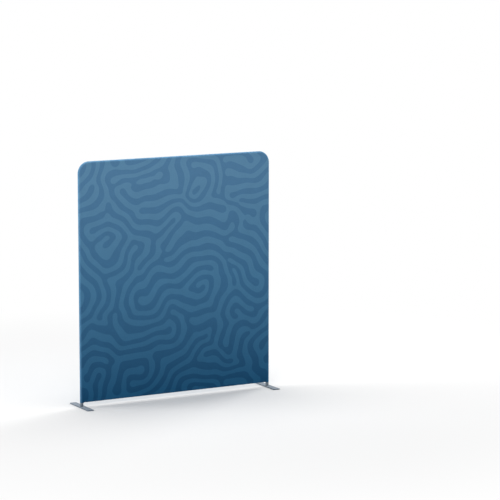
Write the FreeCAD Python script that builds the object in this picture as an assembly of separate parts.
import FreeCAD, Part

import math
import os

from FreeCAD import Vector

# A tension fabric backdrop: a printed stretch cover, pulled like a pillowcase over a frame of
# aluminium tubes that stands on two flat steel feet.
# Millimetres. +Z is up, the printed front faces -Y, and +X is to the right of someone who faces it.
# The origin is on the floor, midway between the two feet.

# Driving dimensions of the frame
frame_width = 1920.0          # between the centre lines of the two uprights
top_rail_height = 2213.0      # floor to the centre line of the top rail
bottom_rail_height = 57.0     # floor to the centre line of the bottom rail
bend_radius = 92.0            # of the corner tubes, on their centre line
corner_leg = 120.0            # straight length at each end of a corner tube
upright_tubes = 3             # straight tubes in each upright
top_tubes = 2                 # straight tubes in the top rail
bottom_tubes = 3              # straight tubes in the bottom rail

# Tubes, and the connectors that join them
tube_diameter = 30.0
tube_wall = 1.5
spigot_wall = 1.5
spigot_insert = 60.0          # length of a connector inside each tube
spigot_clearance = 0.05       # all round, between a connector and the tube over it
rail_end_gap = 0.3            # between the bottom rail's ends and the uprights

# Rivets that hold each connector in one tube
rivet_diameter = 4.0
rivet_head_diameter = 7.0
rivet_head_height = 1.4
rivet_dome_radius = 0.9
rivet_clearance = 0.1
rivet_setback = 30.0          # from the end of the tube to the rivet

# Snap buttons, each on a leaf spring inside its connector
button_diameter = 8.0
button_proud = 4.5            # above the outside of the tube
button_flange_diameter = 10.4
button_flange_height = 1.0
button_hole_clearance = 0.2
button_seat_gap = 0.2         # between the flange and the wall that stops it
button_edge_radius = 1.4
button_setback = 30.0         # from the end of the tube to the button
spring_thickness = 0.6
spring_width = 7.0
spring_bend_radius = 3.2
spring_arm = 26.0             # from the button to the middle of the bend
spring_tip = 6.5              # half the length of the flat tip under the button
spring_gap = 0.1              # between the spring and what it lies on

# Feet
foot_length = 384.0
foot_width = 64.0
foot_thickness = 6.0
foot_corner_radius = 6.0
foot_edge_radius = 0.8
pad_diameter = 20.0
pad_height = 2.0
pad_inset = 20.0              # from the foot's edges to a pad's centre
plug_flange = 3.0             # thickness of the plug's rim, between the foot and the tube
plug_depth = 36.0             # length of the plug inside the tube
bolt_diameter = 10.0
bolt_head_diameter = 19.0
bolt_reach = 26.0             # thread above the foot
bolt_recess = 0.4             # from the foot's underside up to the bolt's head
bolt_socket = 6.0             # across the flats of the hexagon
bolt_socket_depth = 3.0
bolt_clearance = 0.1          # between the bolt and the foot, all round
thread_clearance = 0.05       # between the bolt and the plug, all round

# Cover
fabric_thickness = 0.5
fabric_clearance = 0.3        # between the cover and the tubes
corner_slit = 0.5             # between the bottom flap and the sides of the cover

# Zip on the back, above the bottom rail
zip_rise = 56.0               # bottom rail's centre line to the middle of the zip
zip_gap = 10.0                # between the two edges of cloth beside the teeth
zip_end_margin = 14.0         # from the ends of the flap to the ends of the tapes
tape_width = 12.0
tape_thickness = 0.5
tape_clearance = 0.2          # between the tapes and the cloth
teeth_width = 2.6             # of one row
teeth_thickness = 2.6
teeth_slit = 1.4              # between the two rows
stop_length = 5.0
stop_proud = 0.3              # above the teeth, on both faces
slider_length = 15.0
slider_plate = 1.2
slider_flange = 1.0
slider_clearance = 0.3
slider_post_length = 5.0
slider_corner_radius = 2.4
pull_length = 34.0
pull_eye_width = 7.6
pull_end_width = 9.0
pull_thickness = 1.5
pull_stud_diameter = 3.2
pull_stud_head_diameter = 5.6
pull_stud_head_height = 0.9
pull_clearance = 0.3
pull_hole_diameter = 4.0

# Sizes that follow from those above
tube_radius = tube_diameter / 2
tube_bore = tube_radius - tube_wall
spigot_radius = tube_bore - spigot_clearance
spigot_bore = spigot_radius - spigot_wall
half_width = frame_width / 2
foot_top = pad_height + foot_thickness
upright_start = foot_top + plug_flange
upright_end = top_rail_height - bend_radius - corner_leg
top_rail_half = half_width - bend_radius - corner_leg
bottom_rail_half = half_width - tube_radius - rail_end_gap
fabric_inside = tube_radius + fabric_clearance
fabric_outside = fabric_inside + fabric_thickness
hem_height = bottom_rail_height - fabric_outside
flap_half = half_width - fabric_outside
zip_height = bottom_rail_height + zip_rise

# Directions
RIGHT = Vector(1, 0, 0)
BACK = Vector(0, 1, 0)
UP = Vector(0, 0, 1)
FRONT = Vector(0, -1, 0)
DOWN = Vector(0, 0, -1)
LEFT = Vector(-1, 0, 0)


def save(name, shape):
    """Write one node and print its volume, so that a lost piece shows."""
    shape.exportStep("parts/" + name + ".step")
    print(name, len(shape.Solids), "solids", round(shape.Volume / 1000, 3), "cm3", shape.isValid())


def box_between(low, high):
    """A block from its lowest corner to its highest."""
    size = high - low
    return Part.makeBox(size.x, size.y, size.z, low)


def joined(pieces):
    """One clean solid from pieces that share faces."""
    whole = pieces[0].multiFuse(pieces[1:])
    return whole.removeSplitter()


def pipe(start, along, length, outside, bore):
    """A straight tube."""
    skin = Part.makeCylinder(outside, length, start, along)
    return skin.cut(Part.makeCylinder(bore, length, start, along))


def cross_hole(point, inward, radius):
    """A drill that goes from a tube's centre line out through the wall that faces the frame's inside."""
    return Part.makeCylinder(radius, tube_diameter, point, inward)


def button_drill(point, inward):
    return cross_hole(point, inward, button_diameter / 2 + button_hole_clearance)


def rivet_drill(point, inward):
    return cross_hole(point, inward, rivet_diameter / 2 + rivet_clearance)


def straight_tube(start, along, length, inward, near_drill, far_drill):
    """One tube of the frame, with the holes at its two ends that its joints need."""
    tube = pipe(start, along, length, tube_radius, tube_bore)
    setback = {button_drill: button_setback, rivet_drill: rivet_setback}
    if near_drill:
        tube = tube.cut(near_drill(start + along * setback[near_drill], inward))
    if far_drill:
        tube = tube.cut(far_drill(start + along * (length - setback[far_drill]), inward))
    return tube


def run_of_tubes(names, start, along, length, inward, first_drill, last_drill):
    """Equal tubes end to end, each with a button hole at its start and a riveted connector at its end."""
    share = length / len(names)
    for i, name in enumerate(names):
        near_drill = button_drill if i else first_drill
        far_drill = rivet_drill if i < len(names) - 1 else last_drill
        tube = straight_tube(start + along * (share * i), along, share, inward, near_drill, far_drill)
        yield name, tube


def lower_tube(start, along, length, inward):
    """The upright's lowest tube, with the stub for the bottom rail welded to its side."""
    tube = Part.makeCylinder(tube_radius, length, start, along)
    weld = Vector(start.x, 0, bottom_rail_height)
    stub_reach = tube_radius + rail_end_gap + spigot_insert
    stub = Part.makeCylinder(spigot_radius, stub_reach, weld, inward)
    hollow = Part.makeCylinder(spigot_bore, stub_reach, weld + inward * tube_radius, inward)
    tube = tube.fuse(stub).cut(hollow)
    tube = tube.cut(Part.makeCylinder(tube_bore, length, start, along))
    stub_button = weld + inward * (tube_radius + rail_end_gap + button_setback)
    tube = tube.cut(button_drill(stub_button, UP))
    return tube.cut(rivet_drill(start + along * (length - rivet_setback), inward))


def corner_tube(side, far_drill):
    """A bent tube from the top of one upright to the top rail. side is -1 on the left and 1 on the right."""
    inward = RIGHT * -side
    foot = Vector(side * half_width, 0, upright_end)
    bend_start = foot + UP * corner_leg
    centre = bend_start + inward * bend_radius
    ring = Part.Face([Part.Wire(Part.makeCircle(tube_radius, bend_start, UP)),
                      Part.Wire(Part.makeCircle(tube_bore, bend_start, UP))])
    bend = ring.revolve(centre, BACK, -90 * side)
    leg = pipe(foot, UP, corner_leg, tube_radius, tube_bore)
    arm_start = centre + UP * bend_radius
    arm = pipe(arm_start, inward, corner_leg, tube_radius, tube_bore)
    tube = joined([leg, bend, arm])
    tube = tube.cut(button_drill(foot + UP * button_setback, inward))
    setback = button_setback if far_drill is button_drill else rivet_setback
    return tube.cut(far_drill(arm_start + inward * (corner_leg - setback), DOWN))


def spigot(joint, along, inward):
    """A connector, centred where two tubes meet: a rivet hole on one side, a button hole on the other."""
    sleeve = pipe(joint - along * spigot_insert, along, 2 * spigot_insert, spigot_radius, spigot_bore)
    sleeve = sleeve.cut(rivet_drill(joint - along * rivet_setback, inward))
    return sleeve.cut(button_drill(joint + along * button_setback, inward))


def rivet(joint, along, inward):
    """A blind rivet through the tube and the connector: a domed head outside and a set head inside."""
    axis = joint - along * rivet_setback
    seat = tube_radius + rivet_clearance
    shank_start = spigot_bore - rivet_head_height - rivet_clearance
    shank = Part.makeCylinder(rivet_diameter / 2, seat - shank_start, axis + inward * shank_start, inward)
    head = Part.makeCylinder(rivet_head_diameter / 2, rivet_head_height, axis + inward * seat, inward)
    rim = [e for e in head.Edges if e.CenterOfMass.sub(axis).dot(inward) > seat + rivet_head_height / 2
           and isinstance(e.Curve, Part.Circle)]
    head = head.makeFillet(rivet_dome_radius, rim)
    set_head = Part.makeCylinder(rivet_diameter / 2 + rivet_clearance, rivet_head_height,
                                 axis + inward * shank_start, inward)
    return joined([shank, head, set_head])


def button_flange_top():
    """From the tube's centre line to the top of a button's flange, just under the wall that stops it."""
    flange = button_flange_diameter / 2
    return math.sqrt(spigot_bore ** 2 - flange ** 2) - button_seat_gap


def snap_button(axis, inward):
    """A round button with a flange that keeps it from coming out of its hole."""
    flange_top = button_flange_top()
    top = tube_radius + button_proud
    stem = Part.makeCylinder(button_diameter / 2, top - flange_top, axis + inward * flange_top, inward)
    crown = [e for e in stem.Edges if abs(e.CenterOfMass.sub(axis).dot(inward) - top) < 0.01]
    stem = stem.makeFillet(button_edge_radius, crown)
    flange = Part.makeCylinder(button_flange_diameter / 2, button_flange_height,
                               axis + inward * (flange_top - button_flange_height), inward)
    return joined([stem, flange])


def leaf_spring(axis, along, inward):
    """A folded leaf: one arm lies on the connector's far wall, the other carries the button on a flat tip."""
    across = along.cross(inward)
    half = spring_width / 2
    floor = -math.sqrt(spigot_bore ** 2 - half ** 2) + spring_gap
    ceiling = button_flange_top() - button_flange_height - spring_gap
    centre_s, centre_r = -spring_arm, floor + spring_bend_radius
    # The sloping arm runs from the knee, at the flat tip's end, to touch the bend.
    reach_s, reach_r = -spring_tip - centre_s, ceiling - centre_r
    slope = math.atan2(reach_r, reach_s) - math.asin(spring_bend_radius / math.hypot(reach_s, reach_r))

    def place(s, r):
        return axis + along * s + inward * r - across * half

    def on_bend(radius, angle):
        return place(centre_s + radius * math.cos(angle), centre_r + radius * math.sin(angle))

    inner = spring_bend_radius - spring_thickness
    touch = math.pi / 2 + slope
    middle = (touch + 1.5 * math.pi) / 2
    knee_shift = spring_thickness * math.tan(slope / 2)
    outer_bend = Part.Arc(on_bend(spring_bend_radius, touch), on_bend(spring_bend_radius, middle),
                          on_bend(spring_bend_radius, 1.5 * math.pi))
    inner_bend = Part.Arc(on_bend(inner, 1.5 * math.pi), on_bend(inner, middle), on_bend(inner, touch))
    corners = [place(-spring_tip, ceiling), place(spring_tip, ceiling),
               place(spring_tip, ceiling - spring_thickness),
               place(-spring_tip + knee_shift, ceiling - spring_thickness)]
    lower = [place(spring_tip, floor), place(spring_tip, floor + spring_thickness)]
    edges = [outer_bend.toShape(),
             Part.makeLine(on_bend(spring_bend_radius, 1.5 * math.pi), lower[0]),
             Part.makeLine(lower[0], lower[1]),
             Part.makeLine(lower[1], on_bend(inner, 1.5 * math.pi)),
             inner_bend.toShape(),
             Part.makeLine(on_bend(inner, touch), corners[3]),
             Part.makeLine(corners[3], corners[2]),
             Part.makeLine(corners[2], corners[1]),
             Part.makeLine(corners[1], corners[0]),
             Part.makeLine(corners[0], on_bend(spring_bend_radius, touch))]
    return Part.Face(Part.Wire(edges)).extrude(across * spring_width)


def frame_joints():
    """Every place where tubes come apart: its name, its point, the way along and the way to the inside."""
    upright_share = (upright_end - upright_start) / upright_tubes
    for side, word in ((-1, "left"), (1, "right")):
        for i in range(upright_tubes):
            height = upright_start + upright_share * (i + 1)
            yield f"{word}_upright_{i + 1}", Vector(side * half_width, 0, height), UP, RIGHT * -side
    top_share = 2 * top_rail_half / top_tubes
    for i in range(top_tubes + 1):
        place = Vector(top_share * i - top_rail_half, 0, top_rail_height)
        yield f"top_rail_{i + 1}", place, RIGHT, DOWN
    bottom_share = 2 * bottom_rail_half / bottom_tubes
    for i in range(1, bottom_tubes):
        place = Vector(bottom_share * i - bottom_rail_half, 0, bottom_rail_height)
        yield f"bottom_rail_{i}", place, RIGHT, UP


def stub_joints():
    """The two places where the bottom rail slides over the stubs on the uprights."""
    for along, word in ((RIGHT, "left"), (LEFT, "right")):
        yield f"{word}_stub", along * -bottom_rail_half + UP * bottom_rail_height, along, UP


def foot_plate(side):
    """A flat steel foot with rounded corners, eased edges and a countersunk hole under the upright."""
    low = Vector(side * half_width - foot_width / 2, -foot_length / 2, pad_height)
    plate = Part.makeBox(foot_width, foot_length, foot_thickness, low)
    uprights = [e for e in plate.Edges if abs(e.tangentAt(e.FirstParameter).z) > 0.9]
    plate = plate.makeFillet(foot_corner_radius, uprights)
    rims = [e for e in plate.Edges if abs(e.BoundBox.ZMax - e.BoundBox.ZMin) < 0.01]
    plate = plate.makeFillet(foot_edge_radius, rims)
    axis = Vector(side * half_width, 0, pad_height)
    mouth = Part.makeCylinder(bolt_head_diameter / 2 + bolt_clearance, bolt_recess, axis, UP)
    return plate.cut(joined([countersunk_bolt(axis, bolt_clearance), mouth]))


def countersunk_bolt(axis, grow):
    """A bolt standing on its head just inside a foot's underside, grown all round to cut the hole for it."""
    shank = bolt_diameter / 2 + grow
    head = bolt_head_diameter / 2 + grow
    seat = axis + UP * bolt_recess
    cone = Part.makeCone(head, shank, head - shank, seat, UP)
    rod = Part.makeCylinder(shank, foot_thickness - bolt_recess + bolt_reach, seat, UP)
    return joined([cone, rod])


def foot_bolt(side):
    """The bolt through one foot, with a hexagon socket in its head."""
    axis = Vector(side * half_width, 0, pad_height)
    bolt = countersunk_bolt(axis, 0)
    corner = bolt_socket / 2 / math.cos(math.pi / 6)
    turns = [math.pi / 3 * i for i in range(6)]
    base = axis + UP * bolt_recess
    points = [base + Vector(corner * math.cos(a), corner * math.sin(a), 0) for a in turns]
    socket = Part.Face(Part.makePolygon(points + points[:1])).extrude(UP * bolt_socket_depth)
    return bolt.cut(socket)


def foot_pads(side):
    """Four rubber pads under one foot."""
    across = foot_width / 2 - pad_inset
    along = foot_length / 2 - pad_inset
    places = [Vector(side * half_width + i * across, j * along, 0) for i in (-1, 1) for j in (-1, 1)]
    return Part.makeCompound([Part.makeCylinder(pad_diameter / 2, pad_height, p, UP) for p in places])


def end_plug(side):
    """The plug in an upright's bottom end: a rim as wide as the tube, and a threaded hole for the bolt."""
    axis = Vector(side * half_width, 0, foot_top)
    rim = Part.makeCylinder(tube_radius, plug_flange, axis, UP)
    body = Part.makeCylinder(spigot_radius, plug_flange + plug_depth, axis, UP)
    thread = Part.makeCylinder(bolt_diameter / 2 + thread_clearance, bolt_reach + plug_flange, axis, UP)
    return joined([rim, body]).cut(thread)


def quarter_ring(centre, out, face):
    """The section of cloth round a quarter of a tube, from the frame's outside to its front or its back."""
    ways = [out, (out + face) * math.sqrt(0.5), face]
    outer = Part.Arc(*[centre + way * fabric_outside for way in ways])
    inner = Part.Arc(*[centre + way * fabric_inside for way in reversed(ways)])
    edges = [outer.toShape(), Part.makeLine(outer.EndPoint, inner.StartPoint),
             inner.toShape(), Part.makeLine(inner.EndPoint, outer.StartPoint)]
    return Part.Face(Part.Wire(edges))


def cloth_block(low_x, high_x, low_z, high_z, face):
    """A flat rectangle of cloth on the front or the back."""
    near, far = sorted((face.y * fabric_inside, face.y * fabric_outside))
    return box_between(Vector(low_x, near, low_z), Vector(high_x, far, high_z))


def cloth_main(face, low_z):
    """The flat cloth of one side inside the tubes' centre lines, with its two round top corners."""
    shoulder = top_rail_height - bend_radius
    inset = half_width - bend_radius
    chord = bend_radius * math.sqrt(0.5)

    def place(x, z):
        return Vector(x, face.y * fabric_inside, z)

    right_arc = Part.Arc(place(half_width, shoulder), place(inset + chord, shoulder + chord),
                         place(inset, top_rail_height))
    left_arc = Part.Arc(place(-inset, top_rail_height), place(-inset - chord, shoulder + chord),
                        place(-half_width, shoulder))
    right_foot, left_foot = place(half_width, low_z), place(-half_width, low_z)
    edges = [Part.makeLine(right_foot, right_arc.StartPoint), right_arc.toShape(),
             Part.makeLine(right_arc.EndPoint, left_arc.StartPoint), left_arc.toShape(),
             Part.makeLine(left_arc.EndPoint, left_foot), Part.makeLine(left_foot, right_foot)]
    return Part.Face(Part.Wire(edges)).extrude(face * fabric_thickness)


def cloth_edges(face):
    """The cloth of one side where it goes round the uprights, the corners and the top rail to the seam."""
    shoulder = top_rail_height - bend_radius
    pieces = []
    for side in (-1, 1):
        out = RIGHT * side
        foot = Vector(side * half_width, 0, hem_height)
        pieces.append(quarter_ring(foot, out, face).extrude(UP * (shoulder - hem_height)))
        bend_centre = Vector(side * (half_width - bend_radius), 0, shoulder)
        bend_start = Vector(side * half_width, 0, shoulder)
        pieces.append(quarter_ring(bend_start, out, face).revolve(bend_centre, BACK, -90 * side))
    rail_start = Vector(bend_radius - half_width, 0, top_rail_height)
    pieces.append(quarter_ring(rail_start, UP, face).extrude(RIGHT * (frame_width - 2 * bend_radius)))
    return pieces


def cloth_sides(face, high_z):
    """The narrow flat strips beside the bottom flap, from the hem up, in front of or behind the uprights."""
    inner = flap_half + corner_slit
    return [cloth_block(inner, half_width, hem_height, high_z, face),
            cloth_block(-half_width, -inner, hem_height, high_z, face)]


def front_panel():
    """The printed front: round the frame's edges to the seam, and under the bottom rail to the zip behind."""
    flap_start = Vector(-flap_half, 0, bottom_rail_height)
    flap = [quarter_ring(flap_start, DOWN, face).extrude(RIGHT * (2 * flap_half)) for face in (FRONT, BACK)]
    strip = cloth_block(-flap_half, flap_half, bottom_rail_height, zip_height - zip_gap / 2, BACK)
    main = cloth_main(FRONT, bottom_rail_height)
    return joined([main] + cloth_edges(FRONT) + cloth_sides(FRONT, bottom_rail_height) + flap + [strip])


def back_panel():
    """The back: round the frame's edges to the seam, and down to the zip."""
    edge = zip_height + zip_gap / 2
    return joined([cloth_main(BACK, edge)] + cloth_edges(BACK) + cloth_sides(BACK, edge))


# The zip lies in a plane just inside the cloth of the back
tape_outside = fabric_inside - tape_clearance
tape_inside = tape_outside - tape_thickness
tape_middle = (tape_outside + tape_inside) / 2
teeth_outside = tape_middle + teeth_thickness / 2
teeth_inside = tape_middle - teeth_thickness / 2
row_edge = teeth_slit / 2 + teeth_width
tape_half = flap_half - zip_end_margin
teeth_half = tape_half - stop_length - zip_end_margin / 2
slider_half_width = row_edge + slider_clearance + slider_flange
slider_rest = teeth_half - slider_length / 2 - slider_clearance
slider_face = teeth_outside + slider_clearance + slider_plate
pull_inside = slider_face + pull_clearance


def zip_tape(way):
    """The woven tape on one side of the zip. way is 1 above the teeth and -1 below."""
    low, high = sorted((way * row_edge, way * (row_edge + tape_width)))
    return box_between(Vector(-tape_half, tape_inside, zip_height + low),
                       Vector(tape_half, tape_outside, zip_height + high))


def zip_teeth(way):
    """The row of teeth on one tape, as a plain bar."""
    low, high = sorted((way * teeth_slit / 2, way * row_edge))
    return box_between(Vector(-teeth_half, teeth_inside, zip_height + low),
                       Vector(teeth_half, teeth_outside, zip_height + high))


def zip_stops():
    """The metal stop across both rows at each end of the zip."""
    stops = []
    for low_x in (-teeth_half - stop_length, teeth_half):
        low = Vector(low_x, teeth_inside - stop_proud, zip_height - row_edge)
        high = Vector(low_x + stop_length, teeth_outside + stop_proud, zip_height + row_edge)
        stops.append(box_between(low, high))
    return Part.makeCompound(stops)


def zip_slider():
    """The slider: two plates with turned edges, a post between the rows, and a stud for the pull."""
    half = slider_length / 2
    lip_half = half - slider_corner_radius
    pieces = []
    for near, far, lip in ((teeth_outside + slider_clearance, slider_face, tape_outside + slider_clearance),
                           (teeth_inside - slider_clearance, teeth_inside - slider_clearance - slider_plate,
                            tape_inside - slider_clearance)):
        plate_low, plate_high = sorted((near, far))
        lip_low, lip_high = sorted((lip, near))
        plate = box_between(Vector(slider_rest - half, plate_low, zip_height - slider_half_width),
                            Vector(slider_rest + half, plate_high, zip_height + slider_half_width))
        corners = [e for e in plate.Edges if abs(e.tangentAt(e.FirstParameter).y) > 0.9]
        pieces.append(plate.makeFillet(slider_corner_radius, corners))
        for way in (-1, 1):
            low, high = sorted((way * (slider_half_width - slider_flange), way * slider_half_width))
            pieces.append(box_between(Vector(slider_rest - lip_half, lip_low, zip_height + low),
                                      Vector(slider_rest + lip_half, lip_high, zip_height + high)))
    post = Vector(slider_post_length / 2, 0, teeth_slit / 2 - slider_clearance)
    pieces.append(box_between(Vector(slider_rest, teeth_inside - slider_clearance, zip_height) - post,
                              Vector(slider_rest, teeth_outside + slider_clearance, zip_height) + post))
    stud = Vector(slider_rest, slider_face, zip_height)
    stud_length = pull_thickness + 2 * pull_clearance
    stud_end = stud + BACK * stud_length
    pieces.append(Part.makeCylinder(pull_stud_diameter / 2, stud_length, stud, BACK))
    pieces.append(Part.makeCylinder(pull_stud_head_diameter / 2, pull_stud_head_height, stud_end, BACK))
    return joined(pieces)


def zip_pull():
    """The pull tab, hanging from the slider's stud: a round eye, widening to a round end with a hole."""
    eye = pull_eye_width / 2
    end = pull_end_width / 2
    top = Vector(slider_rest, pull_inside, zip_height)
    bottom = top + DOWN * (pull_length - end)
    sides = [top + LEFT * eye, top + RIGHT * eye, bottom + RIGHT * end, bottom + LEFT * end]
    blade = Part.Face(Part.makePolygon(sides + sides[:1])).extrude(BACK * pull_thickness)
    pieces = [blade, Part.makeCylinder(eye, pull_thickness, top, BACK),
              Part.makeCylinder(end, pull_thickness, bottom, BACK)]
    stud_hole = Part.makeCylinder(pull_stud_diameter / 2 + pull_clearance, pull_thickness, top, BACK)
    end_hole = Part.makeCylinder(pull_hole_diameter / 2, pull_thickness, bottom, BACK)
    return joined(pieces).cut(stud_hole).cut(end_hole)


def build():
    os.makedirs("parts", exist_ok=True)
    upright_length = upright_end - upright_start
    upright_share = upright_length / upright_tubes
    upper_words = [f"tube_{i + 1}" for i in range(1, upright_tubes)]
    for side, word in ((-1, "left"), (1, "right")):
        foot = Vector(side * half_width, 0, upright_start)
        inward = RIGHT * -side
        save(f"{word}_upright_tube_1", lower_tube(foot, UP, upright_share, inward))
        names = [f"{word}_upright_{w}" for w in upper_words]
        second = foot + UP * upright_share
        for name, tube in run_of_tubes(names, second, UP, upright_length - upright_share, inward,
                                       button_drill, rivet_drill):
            save(name, tube)
        save(f"{word}_corner_tube", corner_tube(side, rivet_drill if side < 0 else button_drill))
        save(f"{word}_foot_plate", foot_plate(side))
        save(f"{word}_foot_pads", foot_pads(side))
        save(f"{word}_foot_bolt", foot_bolt(side))
        save(f"{word}_end_plug", end_plug(side))

    top_start = Vector(-top_rail_half, 0, top_rail_height)
    top_names = [f"top_rail_tube_{i + 1}" for i in range(top_tubes)]
    for name, tube in run_of_tubes(top_names, top_start, RIGHT, 2 * top_rail_half, DOWN,
                                   button_drill, rivet_drill):
        save(name, tube)
    bottom_start = Vector(-bottom_rail_half, 0, bottom_rail_height)
    bottom_names = [f"bottom_rail_tube_{i + 1}" for i in range(bottom_tubes)]
    for name, tube in run_of_tubes(bottom_names, bottom_start, RIGHT, 2 * bottom_rail_half, UP,
                                   button_drill, button_drill):
        save(name, tube)

    rivets = []
    springs = []
    for name, joint, along, inward in frame_joints():
        save(f"{name}_spigot", spigot(joint, along, inward))
        rivets.append(rivet(joint, along, inward))
        axis = joint + along * button_setback
        save(f"{name}_button", snap_button(axis, inward))
        springs.append(leaf_spring(axis, along, inward))
    for name, joint, along, inward in stub_joints():
        axis = joint + along * button_setback
        save(f"{name}_button", snap_button(axis, inward))
        # A stub's spring is folded towards its open end, because the upright closes the other.
        springs.append(leaf_spring(axis, along * -1, inward))
    save("spigot_rivets", Part.makeCompound(rivets))
    save("button_springs", Part.makeCompound(springs))

    save("front_panel", front_panel())
    save("back_panel", back_panel())
    save("zip_tape_upper", zip_tape(1))
    save("zip_tape_lower", zip_tape(-1))
    save("zip_teeth_upper", zip_teeth(1))
    save("zip_teeth_lower", zip_teeth(-1))
    save("zip_stops", zip_stops())
    save("zip_slider", zip_slider())
    save("zip_pull", zip_pull())


build()
